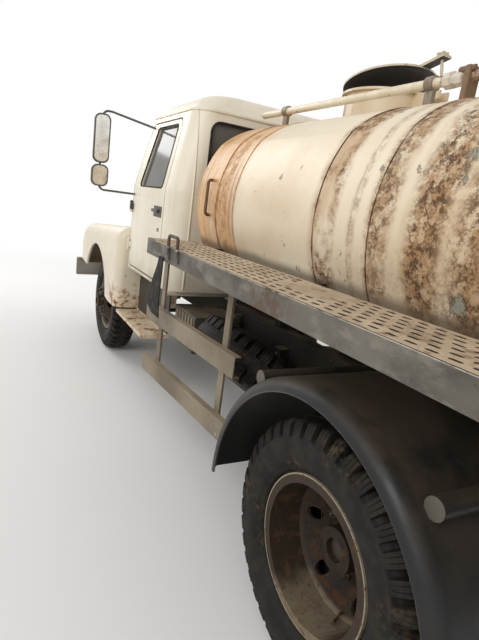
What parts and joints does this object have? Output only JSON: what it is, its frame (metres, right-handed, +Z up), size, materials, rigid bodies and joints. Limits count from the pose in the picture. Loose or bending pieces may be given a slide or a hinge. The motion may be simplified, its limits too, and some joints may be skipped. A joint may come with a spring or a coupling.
{
  "type": "tanker truck",
  "caption": "Bonneted two-axle tanker truck with an oval tank on saddles, a hinged manhole lid, side walkways, side guards and twin rear tyres.",
  "frame": {"origin": "on the ground below the middle of the truck's overall box", "axes": "+X points forward, +Y to the truck's left, +Z up"},
  "size_m": [6.3998, 2.625, 2.4772],
  "materials": {
    "cab_paint": "dull cream enamel with rust at its edges",
    "tank_paint": "dull cream enamel, dirty, with rust streaks",
    "deck_paint": "worn tan paint over weathered steel",
    "guard_paint": "weathered grey beige paint with rust",
    "chassis_paint": "dusty black chassis paint",
    "dark_paint": "dark grey paint",
    "cast_iron": "oily cast surface",
    "bare_steel": "rusty bare steel",
    "rim_paint": "pale paint, worn and rusty",
    "tyre": "dusty rubber",
    "glass": "clear",
    "lamp_lens": "ribbed clear lens",
    "red_lens": "gloss",
    "seat_cover": "worn brown cover",
    "dash_paint": "dull enamel",
    "black_plastic": "worn gloss"
  },
  "bodies": {
    "chassis": {"battery_box": "dark_paint", "cab_glass": "glass", "cab_shell": "cab_paint", "dashboard": "dash_paint", "driveline": "cast_iron", "engine_block": "cast_iron", "exhaust": "bare_steel", "frame_crossmembers": "chassis_paint", "frame_rails": "chassis_paint", "front_axle": "cast_iron", "front_bumper": "chassis_paint", "front_wings": "cab_paint", "fuel_tank": "dark_paint", "grille": "dark_paint", "headlamps": "lamp_lens", "ladder": "guard_paint", "leaf_springs": "chassis_paint", "manhole_neck": "tank_paint", "outlet_flange": "tank_paint", "radiator": "dark_paint", "rear_axle": "cast_iron", "rear_bar": "chassis_paint", "rear_fenders": "chassis_paint", "seat_bench": "seat_cover", "side_guards": "guard_paint", "spare_carrier": "chassis_paint", "spare_rim": "rim_paint", "spare_tyre": "tyre", "steering_wheel": "black_plastic", "steps": "chassis_paint", "tail_lamps": "red_lens", "tank_saddles": "chassis_paint", "tank_shell": "tank_paint", "top_pipe": "tank_paint", "walkways": "deck_paint"},
    "hood": {"hood": "cab_paint"},
    "door_left": {"door_left": "cab_paint", "door_left_glass": "glass", "mirrors_left": "dark_paint"},
    "door_right": {"door_right": "cab_paint", "door_right_glass": "glass", "mirrors_right": "dark_paint"},
    "manhole_lid": {"manhole_lid": "tank_paint"},
    "knuckle_left": {"knuckle_left": "cast_iron"},
    "knuckle_right": {"knuckle_right": "cast_iron"},
    "tie_rod": {"tie_rod": "cast_iron"},
    "wheel_front_left": {"wheel_front_left_tyre": "tyre", "wheel_front_left_rim": "rim_paint"},
    "wheel_front_right": {"wheel_front_right_tyre": "tyre", "wheel_front_right_rim": "rim_paint"},
    "wheel_rear_left": {"wheel_rear_left_tyres": "tyre", "wheel_rear_left_rims": "rim_paint"},
    "wheel_rear_right": {"wheel_rear_right_tyres": "tyre", "wheel_rear_right_rims": "rim_paint"}
  },
  "joints": [
    {"name": "hood_hinge", "type": "hinge", "parent": "chassis", "child": "hood", "pos_m": [1.312, 0, 1.599], "axis": [0, -1, 0], "range_deg": [0, 50]},
    {"name": "door_left_hinge", "type": "hinge", "parent": "chassis", "child": "door_left", "pos_m": [1.179, 0.979, 1.33], "axis": [0, 0, -1], "range_deg": [0, 70]},
    {"name": "door_right_hinge", "type": "hinge", "parent": "chassis", "child": "door_right", "pos_m": [1.179, -0.979, 1.33], "axis": [0, 0, 1], "range_deg": [0, 70]},
    {"name": "manhole_lid_hinge", "type": "hinge", "parent": "chassis", "child": "manhole_lid", "pos_m": [-0.153, 0, 2.305], "axis": [0, 1, 0], "range_deg": [-11.5, 98]},
    {"name": "steer_left", "type": "hinge", "parent": "chassis", "child": "knuckle_left", "pos_m": [2.12, 0.64, 0.475], "axis": [0, 0, 1], "range_deg": [-30, 30]},
    {"name": "steer_right", "type": "hinge", "parent": "chassis", "child": "knuckle_right", "pos_m": [2.12, -0.64, 0.475], "axis": [0, 0, 1], "range_deg": [-30, 30]},
    {"name": "tie_rod_pivot", "type": "hinge", "parent": "knuckle_left", "child": "tie_rod", "pos_m": [1.94, 0.64, 0.412], "axis": [0, 0, 1], "range_deg": [-30, 30]},
    {"name": "spin_front_left", "type": "hinge", "parent": "knuckle_left", "child": "wheel_front_left", "pos_m": [2.12, 0.815, 0.475], "axis": [0, 1, 0], "continuous": true},
    {"name": "spin_front_right", "type": "hinge", "parent": "knuckle_right", "child": "wheel_front_right", "pos_m": [2.12, -0.815, 0.475], "axis": [0, 1, 0], "continuous": true},
    {"name": "spin_rear_left", "type": "hinge", "parent": "chassis", "child": "wheel_rear_left", "pos_m": [-1.65, 0.8125, 0.475], "axis": [0, 1, 0], "continuous": true},
    {"name": "spin_rear_right", "type": "hinge", "parent": "chassis", "child": "wheel_rear_right", "pos_m": [-1.65, -0.8125, 0.475], "axis": [0, 1, 0], "continuous": true}
  ],
  "couplings": [
    {"joint": "steer_right", "follows": "steer_left", "ratio": 1},
    {"joint": "tie_rod_pivot", "follows": "steer_left", "ratio": -1}
  ]
}
